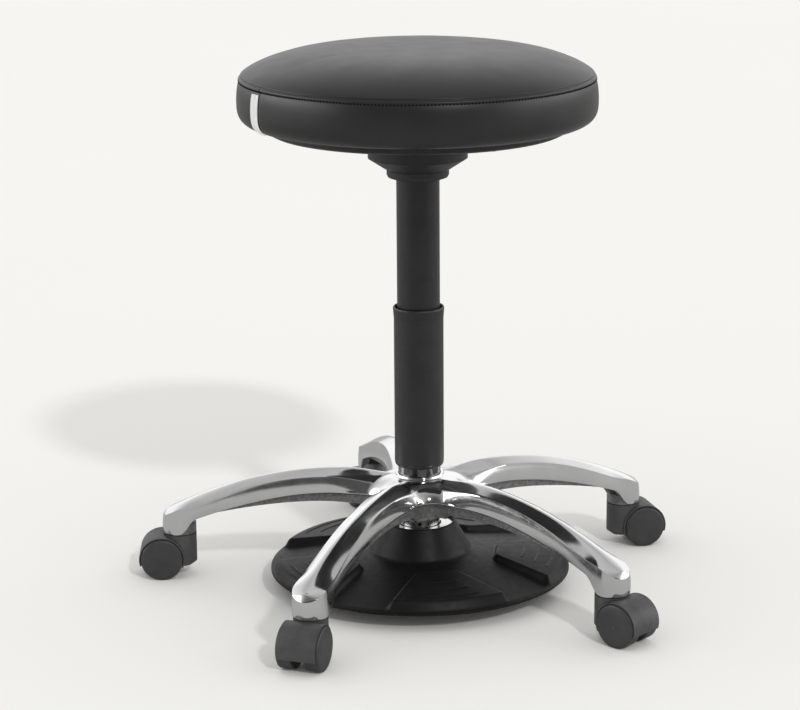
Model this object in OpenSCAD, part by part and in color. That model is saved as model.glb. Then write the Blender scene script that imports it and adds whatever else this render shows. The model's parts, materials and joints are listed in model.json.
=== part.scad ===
// Five-arm clinic stool: round padded seat on a foot-released gas column.
// All lengths are millimetres. +Z is up, z = 0 is the floor, and the column's axis is the Z axis.

/* [Seat] */
// Radius of the sewn seam around the top panel
seam_r = 201.6; // [190:0.2:210]
// Height of that seam above the floor
seam_z = 611.2; // [600:0.2:615]
// Height of the crown of the cushion
crown_z = 641; // [636:0.5:650]
// Largest radius of the cushion
cushion_r = 206.5; // [204:0.5:212]
// Radius of the flat spot in the middle of the crown
crown_flat_r = 30; // [20:1:60]
// Thickness of the upholstery cover
cover_t = 1.6; // [1:0.1:2.5]
// Radius of the plywood board
board_r = 181; // [175:1:183]
// Thickness of the plywood board
board_t = 12; // [10:0.5:12]
// Radius of the moulded pan under the seat
pan_r = 172; // [165:0.5:176]

/* [Column] */
// Outer diameter of the moving column tube
tube_d = 50; // [48:0.5:51]
// Outer diameter of the fixed dust sleeve
sleeve_d = 58; // [57:0.5:60]
// Height of the top of the dust sleeve
sleeve_top_z = 338; // [330:1:340]
// Height of the bottom of the dust sleeve
sleeve_bottom_z = 147; // [145:0.5:148]
// Height of the lower end of the moving tube with the seat where it is stored
tube_bottom_z = 282; // [276:1:290]
// Outer diameter of the gas spring's pressure tube
gas_d = 28; // [28:0.5:30]
// Diameter of the piston rod
rod_d = 10; // [8:0.5:12]

/* [Star base] */
// Number of arms, each with a caster
arms = 5; // [5:1:5]
// Direction of the first arm in degrees
arm_az = 18; // [0:1:71]
// Radius of the circle that the caster stems stand on
stem_circle_r = 290; // [285:1:300]
// Diameter of the boss at the end of an arm
boss_d = 41; // [40:0.5:44]
// Height of the bottom of the boss
boss_bottom_z = 54; // [54:0.5:56]
// Height of the hub's collar
hub_top_z = 137; // [136:0.5:138]
// Diameter of the hub's collar
hub_d = 57; // [56:0.5:60]

/* [Foot control] */
// Radius of the foot disc
disc_r = 177.5; // [170:0.5:180]
// Height of the disc's rim above the floor
disc_rim_z = 20; // [18:0.5:24]
// Thickness of the disc's wall
disc_t = 3; // [2.5:0.1:3.2]
// Height of the top of the disc's cone
cone_top_z = 78; // [77:0.5:79]

/* [Casters] */
// Wheel diameter
wheel_d = 50; // [48:1:50]
// Distance from the swivel axis to the axle
trail = 22; // [21:0.5:25]
// Half of the overall width over both wheels
wheel_half_w = 26; // [25:0.5:29]
// Directions in which the casters trail, arm by arm, in degrees
trail_az = [4, 100, 171, 240, 306.5]; // [0:1:360]

/* [Hidden] */
$fn = 72;
fit = 0.05;
touch = 0.04;
step_az = 360 / arms;
function arm_dir(k) = arm_az + k * step_az;

// ---- seat levels ----
board_bottom_z = 556.6;
board_top_z = board_bottom_z + board_t;
cushion_bottom_z = 555;
dome_power = 4.05;
dome_root = 1.25;
dome_steps = 14;
plate_t = 4;
plate_z = board_bottom_z - plate_t - touch;
plate_half = 80;
bolt_half = 65;
bolt_r = 3;
tnut_r = 4.2;
tnut_flange_r = 9;
pan_rim_z = 545;
pan_screw_az = 22;
pan_screw_circle_r = 150;
cover_fold_r = 157;
bell_top_z = 515;
bell_step_z = 499.5;
bell_bottom_z = 490;

// ---- column levels ----
tube_wall = 2;
bush_h = 70;
tube_top_z = plate_z - touch;
end_plate_t = 5;
end_plate_z = 530;
gas_wall = 2;
gas_bottom_z = 88;
gas_top_z = 398;
valve_h = 40;
piston_z = 300;
piston_h = 14;
race_t = 2.5;
race_r = 12;
ball_r = 2;
balls = 9;
ball_circle_r = 9;
bearing_top_z = end_plate_z - touch;
ball_z = bearing_top_z - race_t - ball_r - touch;
lower_race_z = ball_z - ball_r - race_t - touch;
rod_neck_r = 4;
rod_top_z = end_plate_z + end_plate_t + 9;
clip_z = end_plate_z + end_plate_t + 1.5;

// ---- hub levels ----
bore_bottom_z = 101;
bore_bottom_r = 24.3;
bore_top_r = 25;
ridge_top_z = 139;
lip_top_z = 113;
arm_wall_top = 8;
arm_wall_side = 8.5;
lip_step = 4;
drum_r = 47;
drum_bottom_z = 96;
recess_r = 24.1;
adapter_top_z = 159;
adapter_neck_r = 24.8;
taper_r_low = 13.6;
taper_r_end = 13.35;

// ---- foot-control levels ----
disc_plate_z = 72.5;
disc_plate_t = 2;
disc_plate_r = 39.3;
ring_r = 24;
ring_bore_r = 19;
ledge_r = 31;
ledge_top_z = 69.5;
ledge_t = 4;
rocker_r = 28.3;
rocker_section_r = 1.3;
pusher_r = 6;
pusher_bottom_z = 58.4;
pusher_top_z = 76;
pin_r = 4;
pin_top_z = 118;
cup_floor_z = 56;
cup_wall_r = 35.5;
plate_screw_circle_r = 37.5;
plate_screw_r = 1.25;
plate_screw_head_r = 1.95;
set_screw_z = 79;
set_screw_az = 258.4;
set_screw_r = 2;
stop_pin_az = 300;
stop_pin_circle_r = 35;
stop_pin_r = 2.2;
grip_radii = [126, 143, 160];
grip_half_angle = 11;

// ---- wheels ----
wheel_r = wheel_d / 2;
hood_r = 27.3;
hood_gap = 0.9;
hood_half_w = 22.5;
hood_low_z = 17.5;
web_low_z = 14;
wheel_dome = 3;
web_half = 6.8;
stem_r = 5.5;
stem_bottom_z = 17;
stem_top_z = 76;
barrel_r = 19.5;
axle_r = 3;
axle_half = 20;

// ---------- helpers ----------
module tube(r_out, r_in, z_low, z_high) {
    difference() {
        translate([0, 0, z_low]) cylinder(r = r_out, h = z_high - z_low);
        translate([0, 0, z_low - 1]) cylinder(r = r_in, h = z_high - z_low + 2);
    }
}

module rod(r, z_low, z_high) {
    translate([0, 0, z_low]) cylinder(r = r, h = z_high - z_low);
}

module revolve(points) {
    rotate_extrude($fn = 144) polygon(points);
}

module on_arms() {
    for (k = [0 : arms - 1]) rotate([0, 0, arm_dir(k)]) children();
}

// ---------- star base ----------
// Height of an arm's ridge at radius r: a falling arc from the hub to the boss
function ridge_z(r) = ridge_top_z - 60 * pow(max(0, (r - 85) / (310 - 85)), 2);
// Height of the polished lip along an arm's side
function lip_z(r) = r < 95 ? lip_top_z : lip_top_z - 56 * pow((r - 95) / (310 - 95), 1.75);
// Height of the rough rib's lower edge inside the lip
function rib_z(r) = lip_z(r) - 17 * max(0, 1 - pow(max(0, r - 60) / 190, 2));
// Half width of an arm at radius r
function arm_half(r) = 18.3 + 7 * pow(max(0, (150 - r) / 100), 1.6) + 2.2 * pow(max(0, (r - 170) / 120), 2);

arm_rs = [for (i = [0 : 12]) 28 + i * (stem_circle_r - 28) / 12];

// Plan of one arm, pointing along +X, drawn in by an amount
module arm_plan(inset) {
    left = [for (r = arm_rs) [r, arm_half(r) - inset]];
    right = [for (i = [len(arm_rs) - 1 : -1 : 0]) [arm_rs[i], -arm_half(arm_rs[i]) + inset]];
    polygon(concat(left, right));
    translate([stem_circle_r, 0]) circle(r = boss_d / 2 - inset);
}

// Everything between two revolved heights, as a body of revolution
module dome_band(low_points, high_points) {
    revolve(concat(low_points, [for (i = [len(high_points) - 1 : -1 : 0]) high_points[i]]));
}

ridge_points = concat([[0, ridge_top_z]], [for (r = [85 : 15 : 325]) [r, ridge_z(r)]]);
lip_points = concat([[0, lip_top_z]], [for (r = [95 : 15 : 320]) [r, lip_z(r)]], [[325, 50]]);
rib_points = concat([[0, drum_bottom_z]], [for (r = [60 : 15 : 270]) [r, rib_z(r)]], [[325, 50]]);
roof_points = concat([[0, ridge_top_z - 10]], [for (r = [85 : 15 : 325]) [r, ridge_z(r) - arm_wall_top]]);

module arm_hood() {
    intersection() {
        translate([0, 0, 40]) linear_extrude(height = 110) arm_plan(0);
        dome_band(lip_points, ridge_points);
    }
}

module arm_rib() {
    intersection() {
        translate([0, 0, 40]) linear_extrude(height = 110) arm_plan(lip_step);
        dome_band(rib_points, ridge_points);
    }
}

// The hollow under an arm, which stops short of the hub's drum and the boss
module arm_hollow() {
    intersection() {
        translate([0, 0, 40]) linear_extrude(height = 110) difference() {
            arm_plan(arm_wall_side);
            circle(r = drum_r - 1);
            translate([stem_circle_r, 0]) circle(r = boss_d / 2);
        }
        dome_band([[0, 30], [325, 30]], roof_points);
    }
}

module arm_boss() {
    translate([stem_circle_r, 0, boss_bottom_z])
        cylinder(r = boss_d / 2, h = ridge_z(stem_circle_r + 18) - boss_bottom_z - 2);
}

// Hub hood: a collar that flares into the web between the arms
module hub_hood() {
    revolve([[0, 100], [drum_r, 100], [drum_r + 4, 112], [57, 112.5], [58, 115], [54, 124], [45, 129.5],
        [36, 132], [hub_d / 2 + 1, 134], [hub_d / 2, hub_top_z - 1], [hub_d / 2 - 1, hub_top_z],
        [0, hub_top_z]]);
}

module stop_pin_place() {
    rotate([0, 0, stop_pin_az]) translate([stop_pin_circle_r, 0, 0]) children();
}

module star_base() {
    color("gainsboro") difference() {
        union() {
            difference() {
                union() {
                    on_arms() arm_hood();
                    on_arms() arm_rib();
                }
                on_arms() arm_hollow();
            }
            on_arms() arm_boss();
            hub_hood();
            rod(drum_r, drum_bottom_z, 112);
        }
        translate([0, 0, bore_bottom_z - 0.01])
            cylinder(r1 = bore_bottom_r, r2 = bore_top_r, h = hub_top_z - bore_bottom_z + 0.02);
        rod(60, hub_top_z, 150);
        rod(recess_r, drum_bottom_z - 1, bore_bottom_z);
        on_arms() translate([stem_circle_r, 0, 0]) rod(stem_r + touch, boss_bottom_z - 1, stem_top_z);
        on_arms() translate([stem_circle_r, 0, 0]) rod(stem_r + 1, 66, 69);
        stop_pin_place() rod(stop_pin_r, 80, 106);
    }
}

module hub_adapter() {
    color("dimgray") difference() {
        union() {
            translate([0, 0, bore_bottom_z + 0.5]) cylinder(
                r1 = bore_bottom_r - touch, r2 = bore_top_r - touch,
                h = hub_top_z - bore_bottom_z - 0.5);
            rod(bore_top_r - touch, hub_top_z, 146);
            rod(adapter_neck_r, 146, adapter_top_z);
        }
        translate([0, 0, bore_bottom_z - 1]) cylinder(
            r1 = taper_r_low + touch, r2 = gas_d / 2 + touch,
            h = adapter_top_z - bore_bottom_z + 2);
    }
}

module dust_sleeve() {
    r_out = sleeve_d / 2;
    color("#1c1c1e") revolve([
        [adapter_neck_r + touch, sleeve_bottom_z], [27.2, sleeve_bottom_z], [28.4, sleeve_bottom_z + 1.6],
        [r_out, sleeve_bottom_z + 5],
        [r_out, sleeve_top_z - 14], [r_out + 1, sleeve_top_z - 1.5], [r_out + 0.4, sleeve_top_z],
        [r_out - 0.8, sleeve_top_z], [r_out - 1.4, sleeve_top_z - 1.5], [r_out - 2, sleeve_top_z - 14],
        [r_out - 2, sleeve_bottom_z + 14], [adapter_neck_r + touch, sleeve_bottom_z + 11]]);
}

// ---------- gas spring, base side ----------
module pressure_tube() {
    r = gas_d / 2;
    color("silver") difference() {
        union() {
            translate([0, 0, gas_bottom_z])
                cylinder(r1 = taper_r_end, r2 = taper_r_low, h = bore_bottom_z - 1 - gas_bottom_z);
            translate([0, 0, bore_bottom_z - 1])
                cylinder(r1 = taper_r_low, r2 = r, h = adapter_top_z - bore_bottom_z + 2);
            rod(r, adapter_top_z + 1, gas_top_z);
        }
        rod(r - gas_wall - 1.6, gas_bottom_z - 1, gas_bottom_z + valve_h + 1);
        rod(r - gas_wall, gas_bottom_z + valve_h + 1, gas_top_z + 1);
    }
}

module valve_body() {
    r = gas_d / 2 - gas_wall - 1.6 - touch;
    color("goldenrod") difference() {
        rod(r, gas_bottom_z + 1, gas_bottom_z + valve_h);
        rod(pin_r + fit, gas_bottom_z, pin_top_z + 4);
        rod(1.2, pin_top_z, gas_bottom_z + valve_h + 1);
    }
}

module rod_guide() {
    color("silver") tube(gas_d / 2 - gas_wall - touch, rod_d / 2 + fit, gas_top_z - 24, gas_top_z - 1);
}

module rod_seal() {
    color("black")
        tube(gas_d / 2 - gas_wall - touch, rod_d / 2 + fit, gas_top_z - 31, gas_top_z - 24 - touch);
}

module release_pin() {
    color("silver") rod(pin_r, pusher_top_z + touch, pin_top_z);
}

// ---------- gas spring, seat side ----------
module piston_rod() {
    color("silver") {
        rod(rod_d / 2, piston_z - piston_h / 2 - 3, lower_race_z - touch);
        rod(rod_neck_r, lower_race_z - 1, rod_top_z);
    }
}

module piston() {
    color("gray") difference() {
        rod(gas_d / 2 - gas_wall - fit, piston_z - piston_h / 2, piston_z + piston_h / 2);
        rod(rod_d / 2 + touch, piston_z - piston_h, piston_z + piston_h);
    }
}

module bumper() {
    color("black") tube(10, rod_d / 2 + touch, lower_race_z - 12, lower_race_z - 2.1);
}

module lower_race() {
    color("silver") tube(race_r, rod_neck_r + touch, lower_race_z, lower_race_z + race_t);
}

module upper_race() {
    color("silver") tube(race_r, rod_neck_r + 0.6, bearing_top_z - race_t, bearing_top_z);
}

module bearing_balls() {
    color("silver") for (k = [0 : balls - 1])
        rotate([0, 0, k * 360 / balls]) translate([ball_circle_r, 0, ball_z]) sphere(r = ball_r);
}

module ball_cage() {
    color("goldenrod") difference() {
        tube(race_r - 0.4, rod_neck_r + 1.4, ball_z - 0.7, ball_z + 0.7);
        for (k = [0 : balls - 1]) rotate([0, 0, k * 360 / balls])
            translate([ball_circle_r, 0, 0]) rod(ball_r + fit, ball_z - 2, ball_z + 2);
    }
}

module retaining_clip() {
    color("silver") tube(8.5, rod_neck_r + touch, clip_z, clip_z + 1.5);
}

module standpipe() {
    r = tube_d / 2;
    color("#202022") difference() {
        rod(r, tube_bottom_z, tube_top_z);
        rod(r - tube_wall, tube_bottom_z - 1, end_plate_z);
        rod(rod_neck_r + 0.6, end_plate_z - 1, tube_top_z + 1);
        rod(r - tube_wall, end_plate_z + end_plate_t, tube_top_z + 1);
    }
}

module guide_bush() {
    color("ivory")
        tube(tube_d / 2 - tube_wall - touch, gas_d / 2 + fit, tube_bottom_z + 1, tube_bottom_z + bush_h);
}

// ---------- seat ----------
module plate_holes(r, z_low, z_high) {
    for (x = [-1, 1], y = [-1, 1])
        translate([x * bolt_half, y * bolt_half, 0]) rod(r, z_low, z_high);
}

module seat_plate() {
    color("#2a2a2c") difference() {
        union() {
            translate([-plate_half, -plate_half, plate_z]) cube([2 * plate_half, 2 * plate_half, plate_t]);
            tube(tube_d / 2 + 3, tube_d / 2 + touch, plate_z - 30, plate_z + 1);
        }
        plate_holes(bolt_r + 0.3, plate_z - 1, plate_z + plate_t + 1);
    }
}

module plate_bolts() {
    color("gray") for (x = [-1, 1], y = [-1, 1]) translate([x * bolt_half, y * bolt_half, 0]) {
        rod(bolt_r, plate_z - touch, board_top_z - 1);
        translate([0, 0, plate_z - 4.5]) cylinder(r = 5.5, h = 4.5 - touch, $fn = 6);
    }
}

module t_nuts() {
    color("silver") for (x = [-1, 1], y = [-1, 1]) translate([x * bolt_half, y * bolt_half, 0]) {
        difference() {
            union() {
                rod(tnut_r, board_top_z - 9, board_top_z + touch);
                rod(tnut_flange_r, board_top_z + touch, board_top_z + 1.5);
            }
            rod(bolt_r + touch, board_top_z - 10, board_top_z + 2);
        }
    }
}

module seat_board() {
    color("burlywood") difference() {
        rod(board_r, board_bottom_z, board_top_z);
        plate_holes(tnut_r + touch, board_bottom_z - 1, board_top_z + 1);
        for (k = [0 : 3]) pan_screw_place(k)
            rod(1.6, board_bottom_z - 1, board_bottom_z + 9);
    }
}

module pan_screw_place(k) {
    rotate([0, 0, pan_screw_az + 90 * k]) translate([pan_screw_circle_r, 0, 0]) children();
}

// A shallow moulded pan with a rolled rim and a neck for the bell
module under_pan() {
    color("#161617") difference() {
        revolve([[36, bell_top_z + 14], [60, bell_top_z + 14], [148, pan_rim_z - 1], [168, pan_rim_z],
            [pan_r, pan_rim_z + 2], [pan_r, board_bottom_z - 3], [pan_r - 3, board_bottom_z - 3],
            [pan_r - 3, pan_rim_z + 4], [148, pan_rim_z + 2], [60, bell_top_z + 17],
            [36, bell_top_z + 17]]);
        for (k = [0 : 3]) pan_screw_place(k) rod(2.2, 500, 560);
    }
    color("#161617") for (k = [0 : 3]) pan_screw_place(k)
        tube(5, 2.2, pan_rim_z + 1.5, board_bottom_z - touch);
}

module pan_screws() {
    color("silver") for (k = [0 : 3]) pan_screw_place(k) {
        rod(1.55, pan_rim_z - 2, board_bottom_z + 8);
        translate([0, 0, pan_rim_z - 3.6]) cylinder(r1 = 2.6, r2 = 3.8, h = 1.7);
    }
}

module bell_cover() {
    r_in = tube_d / 2 + 0.4;
    color("#1a1a1b") revolve([
        [r_in, bell_bottom_z + 1], [r_in + 1, bell_bottom_z], [31, bell_bottom_z],
        [34.5, bell_bottom_z + 1.2],
        [36, bell_bottom_z + 4], [36, bell_step_z], [57.5, bell_top_z - 1.5], [57.5, bell_top_z + 13.6],
        [55, bell_top_z + 13.6], [55, bell_top_z], [34, bell_step_z + 2.5], [r_in, bell_step_z + 2.5]]);
}

// Dome of the top panel: flat at the crown and falling more steeply towards the seam
function dome_z(r, top, low, rim) = low + (top - low) * pow(1 - pow(r / rim, dome_power), 1 / dome_root);

function dome_points(shrink) = [for (i = [0 : dome_steps])
    let (rim = seam_r - shrink, r = crown_flat_r + (rim - crown_flat_r) * pow(i / dome_steps, 0.8),
        top = crown_z - shrink, low = seam_z - shrink / 2,
        flat = dome_z(crown_flat_r, top, low, rim))
    [r, i == 0 ? top : dome_z(r, top, low, rim) + (top - flat) * (1 - i / dome_steps)]];

// Outline of the cushion from the crown down the side to the underside
function cushion_points(shrink) = concat(
    [[0, crown_z - shrink]], dome_points(shrink),
    [[cushion_r - 2 - shrink, seam_z - 12], [cushion_r - 0.4 - shrink, seam_z - 21],
        [cushion_r - shrink, 575 + shrink / 2], [cushion_r - 2.5 - shrink, 567 + shrink / 2],
        [cushion_r - 9 - shrink, 560 + shrink / 2], [188 - shrink, cushion_bottom_z + shrink * 0.8]]);

module seat_cover() {
    underside = [[184, cushion_bottom_z], [cover_fold_r, cushion_bottom_z],
        [cover_fold_r, board_bottom_z - touch],
        [board_r + 0.2, board_bottom_z - touch], [188 - cover_t, board_bottom_z]];
    outer = cushion_points(0);
    inner = cushion_points(cover_t);
    color("#1b1b1d") revolve(concat(outer, underside,
        [for (i = [len(inner) - 2 : -1 : 0]) inner[i]]));
}

module cushion_foam() {
    outer = cushion_points(cover_t + 0.2);
    color("khaki") difference() {
        revolve(concat([for (i = [0 : len(outer) - 2]) outer[i]],
            [[board_r + 0.3, 559.5], [board_r + 0.3, board_top_z + 0.1], [0, board_top_z + 0.1]]));
        plate_holes(tnut_flange_r + 0.2, board_top_z - 1, board_top_z + 2);
    }
}

// ---------- foot control ----------
module set_screw_place() {
    rotate([0, 0, set_screw_az]) translate([0, 0, set_screw_z]) rotate([0, 90, 0]) children();
}

module hanger_ring() {
    color("silver") difference() {
        union() {
            rod(ring_r, ledge_top_z - 0.1, bore_bottom_z - 0.1);
            rod(ledge_r, ledge_top_z - ledge_t, ledge_top_z);
        }
        rod(ring_bore_r, ledge_top_z - ledge_t - 1, bore_bottom_z);
        set_screw_place() rod(set_screw_r + fit, 0, 40);
    }
}

module pusher_guide() {
    color("ivory") difference() {
        tube(ring_bore_r - touch, pusher_r + fit, ledge_top_z - ledge_t, 85);
        set_screw_place() rod(set_screw_r + fit, 0, 40);
    }
}

module set_screw() {
    color("black") difference() {
        set_screw_place() rod(set_screw_r, 12, 25.2);
        set_screw_place() rod(set_screw_r / 2, 23, 27, $fn = 6);
    }
}

module stop_pin() {
    color("black") stop_pin_place() rod(stop_pin_r - touch, 92.5, 105.9);
}

module pusher() {
    color("ivory") {
        rod(pusher_r, pusher_bottom_z + pusher_r, pusher_top_z);
        translate([0, 0, pusher_bottom_z + pusher_r]) sphere(r = pusher_r);
    }
}

module rocker_ring() {
    color("black") translate([0, 0, ledge_top_z + rocker_section_r + touch])
        rotate_extrude() translate([rocker_r, 0]) circle(r = rocker_section_r);
}

module plate_screw_places() {
    on_arms() translate([plate_screw_circle_r, 0, 0]) children();
}

module disc_plate() {
    color("gainsboro") difference() {
        tube(disc_plate_r, ring_r + 1.6, disc_plate_z, disc_plate_z + disc_plate_t);
        plate_screw_places() rod(plate_screw_r + touch / 2, disc_plate_z - 1, disc_plate_z + 1.6);
    }
}

module bridge_cup() {
    z = disc_plate_z;
    color("gray") difference() {
        revolve([[0, cup_floor_z], [34.5, cup_floor_z], [cup_wall_r, cup_floor_z + 1], [cup_wall_r, z - 2],
            [disc_plate_r - 0.3, z - 2], [disc_plate_r - 0.3, z - touch], [33.6, z - touch],
            [33.6, cup_floor_z + 3], [32.6, cup_floor_z + 2], [0, cup_floor_z + 2]]);
        plate_screw_places() rod(plate_screw_r + touch / 2, z - 4, z + 1);
    }
}

module plate_screws() {
    color("silver") plate_screw_places() {
        rod(plate_screw_r, 67 - touch, disc_plate_z + 1.5);
        rod(plate_screw_head_r, 65.2, 67 - touch);
    }
}

// Height of the dish between the pads
function dish_z(r) = 43 - (r - 62) * 19 / (disc_r - 62);

// Height of a pad's tread, which falls away from the column like the dish
function dish_pad_z(r) = 46.8 - (r - 80) * 11.5 / 87;

// Plan of one raised pedal pad, pointing along +X, drawn in by an amount
module pad_plan(inset) {
    w0 = 24 - inset;
    w1 = 69 - inset;
    polygon([[90 + inset, -w0], [90 + inset, w0], [93 + inset, w0 + 3], [154 - inset, w1],
        [190, w1 + 3], [190, -w1 - 3], [154 - inset, -w1], [93 + inset, -w0 - 3]]);
}

// Body of a pad: a tread with a sloping riser down to the rim
module pad(inset, drop) {
    intersection() {
        linear_extrude(height = 60) pad_plan(inset);
        revolve([[80, 20], [80, dish_pad_z(80) - drop], [167 - inset, dish_pad_z(167) - drop],
            [170 - inset, 34 - drop], [disc_r - 1 - inset, 24 - drop], [disc_r - 1 - inset, 20]]);
    }
}

module grip_ridges() {
    for (r = grip_radii)
        rotate([0, 0, -grip_half_angle]) rotate_extrude(angle = 2 * grip_half_angle, $fn = 144)
            polygon([[r - 0.9, dish_pad_z(r) - 1], [r - 0.6, dish_pad_z(r) + 0.5],
                [r + 0.6, dish_pad_z(r) + 0.5], [r + 0.9, dish_pad_z(r) - 1]]);
}

module foot_disc() {
    z = cone_top_z;
    color("#202022") difference() {
        union() {
            revolve([[39.5, z], [41.2, z], [42, z - 1.5], [59.5, 47], [60.5, 44.5], [62, 43],
                [disc_r - 3, dish_z(disc_r - 3)], [disc_r, disc_rim_z + 2.5], [disc_r, disc_rim_z],
                [disc_r - disc_t, disc_rim_z], [disc_r - disc_t - 1, dish_z(disc_r) - disc_t],
                [64, 43 - disc_t], [58, 42], [43, z - 14], [42.5, 67], [cup_wall_r + 0.3, 67],
                [cup_wall_r + 0.3, disc_plate_z - 2 - touch], [39.5, disc_plate_z - 2 - touch]]);
            for (k = [0 : arms - 1]) rotate([0, 0, arm_dir(k) + step_az / 2]) {
                pad(0, 0);
                grip_ridges();
            }
        }
        for (k = [0 : arms - 1]) rotate([0, 0, arm_dir(k) + step_az / 2]) pad(disc_t, disc_t);
        plate_screw_places() rod(plate_screw_r + touch / 2, 60, disc_plate_z);
    }
}

// ---------- casters ----------
module at_caster(k) {
    rotate([0, 0, arm_dir(k)]) translate([stem_circle_r, 0, 0])
        rotate([0, 0, trail_az[k] - arm_dir(k)]) children();
}

module across(r, half, x = trail, z = wheel_r) {
    translate([x, half, z]) rotate([90, 0, 0]) cylinder(r = r, h = 2 * half);
}

module caster_housing(k) {
    color("#2b2b2d") at_caster(k) difference() {
        union() {
            rod(barrel_r, 18, boss_bottom_z - 0.6);
            translate([0, 0, 13]) cylinder(r1 = 13, r2 = barrel_r, h = 5.01);
            across(hood_r, hood_half_w);
        }
        difference() {
            across(wheel_r + hood_gap, 40);
            translate([-40, -web_half, -10]) cube([120, 2 * web_half, 100]);
        }
        translate([trail, -50, -30]) cube([60, 100, 30 + hood_low_z]);
        translate([-10, -50, -30]) cube([40, 100, 30 + web_low_z]);
        rod(stem_r + fit, stem_bottom_z - 1, 60);
        across(axle_r + touch, 60);
    }
}

module caster_axle(k) {
    color("silver") at_caster(k) across(axle_r, axle_half);
}

// One wheel: a hard tread with a domed outer face and a blind bore
module caster_wheel(k, side) {
    inner = web_half + 0.5;
    edge = wheel_half_w - wheel_dome;
    color("#303033") at_caster(k) translate([trail, 0, wheel_r]) rotate([-90 * side, 0, 0]) difference() {
        rotate_extrude($fn = 96) polygon([[0, inner], [wheel_r - 1, inner], [wheel_r, inner + 1],
            [wheel_r, edge], [wheel_r - 0.5, edge + 1], [wheel_r - 1.8, edge + 1.9],
            [wheel_r - 5, edge + 2.4], [wheel_r / 2, edge + 2.8], [0, wheel_half_w]]);
        rod(axle_r + fit, inner - 1, axle_half + 0.5);
    }
}

module caster_stems() {
    color("silver") on_arms() translate([stem_circle_r, 0, 0]) difference() {
        rod(stem_r, stem_bottom_z, stem_top_z - 1);
        tube(stem_r + 1, stem_r - 1, 66.5, 68.5);
    }
}

module stem_grip_rings() {
    color("gray") on_arms() translate([stem_circle_r, 0, 0]) tube(stem_r + 0.8, stem_r - 0.9, 66.7, 68.3);
}

star_base();
hub_adapter();
dust_sleeve();
pressure_tube();
valve_body();
rod_guide();
rod_seal();
hanger_ring();
pusher_guide();
set_screw();
stop_pin();
caster_stems();
stem_grip_rings();
release_pin();
pusher();
rocker_ring();
foot_disc();
disc_plate();
bridge_cup();
plate_screws();
piston_rod();
piston();
lower_race();
bumper();
retaining_clip();
ball_cage();
bearing_balls();
upper_race();
standpipe();
guide_bush();
seat_plate();
plate_bolts();
t_nuts();
seat_board();
under_pan();
pan_screws();
bell_cover();
cushion_foam();
seat_cover();
caster_housing(0);  // caster_1_housing
caster_axle(0);  // caster_1_axle
caster_wheel(0, 1);  // caster_1_left_wheel
caster_wheel(0, -1);  // caster_1_right_wheel
caster_housing(1);  // caster_2_housing
caster_axle(1);  // caster_2_axle
caster_wheel(1, 1);  // caster_2_left_wheel
caster_wheel(1, -1);  // caster_2_right_wheel
caster_housing(2);  // caster_3_housing
caster_axle(2);  // caster_3_axle
caster_wheel(2, 1);  // caster_3_left_wheel
caster_wheel(2, -1);  // caster_3_right_wheel
caster_housing(3);  // caster_4_housing
caster_axle(3);  // caster_4_axle
caster_wheel(3, 1);  // caster_4_left_wheel
caster_wheel(3, -1);  // caster_4_right_wheel
caster_housing(4);  // caster_5_housing
caster_axle(4);  // caster_5_axle
caster_wheel(4, 1);  // caster_5_left_wheel
caster_wheel(4, -1);  // caster_5_right_wheel
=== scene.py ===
import json
import math
import random

import bmesh
import bpy
from mathutils import Matrix, Vector


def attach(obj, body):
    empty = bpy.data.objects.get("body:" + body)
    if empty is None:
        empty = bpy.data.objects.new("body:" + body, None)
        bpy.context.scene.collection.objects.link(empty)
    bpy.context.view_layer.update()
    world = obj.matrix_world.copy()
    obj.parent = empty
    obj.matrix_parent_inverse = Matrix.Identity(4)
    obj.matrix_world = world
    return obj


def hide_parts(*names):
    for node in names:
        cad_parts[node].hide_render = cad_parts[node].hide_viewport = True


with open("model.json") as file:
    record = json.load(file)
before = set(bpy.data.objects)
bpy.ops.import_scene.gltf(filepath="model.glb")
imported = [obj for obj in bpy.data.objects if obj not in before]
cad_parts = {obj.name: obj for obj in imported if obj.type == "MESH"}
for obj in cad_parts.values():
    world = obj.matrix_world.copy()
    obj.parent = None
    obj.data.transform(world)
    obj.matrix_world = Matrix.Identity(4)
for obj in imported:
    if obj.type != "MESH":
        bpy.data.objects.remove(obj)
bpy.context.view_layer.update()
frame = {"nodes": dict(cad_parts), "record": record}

MM = 0.001
random.seed(7)

# ---- driving sizes, in millimetres, the same as the CAD model's ----
ARMS = 5
STEP = 360 / ARMS
ARM_AZ = 18
STEM_CIRCLE = 290.0
BOSS_R = 20.5
HUB_R = 28.5
COLLAR_R = HUB_R + 1.2
COLLAR_Z = 134.2
BORE_R = 24.1
HOLLOW_Z = 96.0
TIP_BOTTOM_Z = 54.0
WEB_SHOULDER_Z = 127.2
LIP_R = 1.3
SIDE_POINTS = 40
TAU = 2 * math.pi


def rad(deg):
    return math.radians(deg)


def lerp(a, b, t):
    return a + (b - a) * t


def smooth(t):
    t = max(0.0, min(1.0, t))
    return t * t * (3 - 2 * t)


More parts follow.
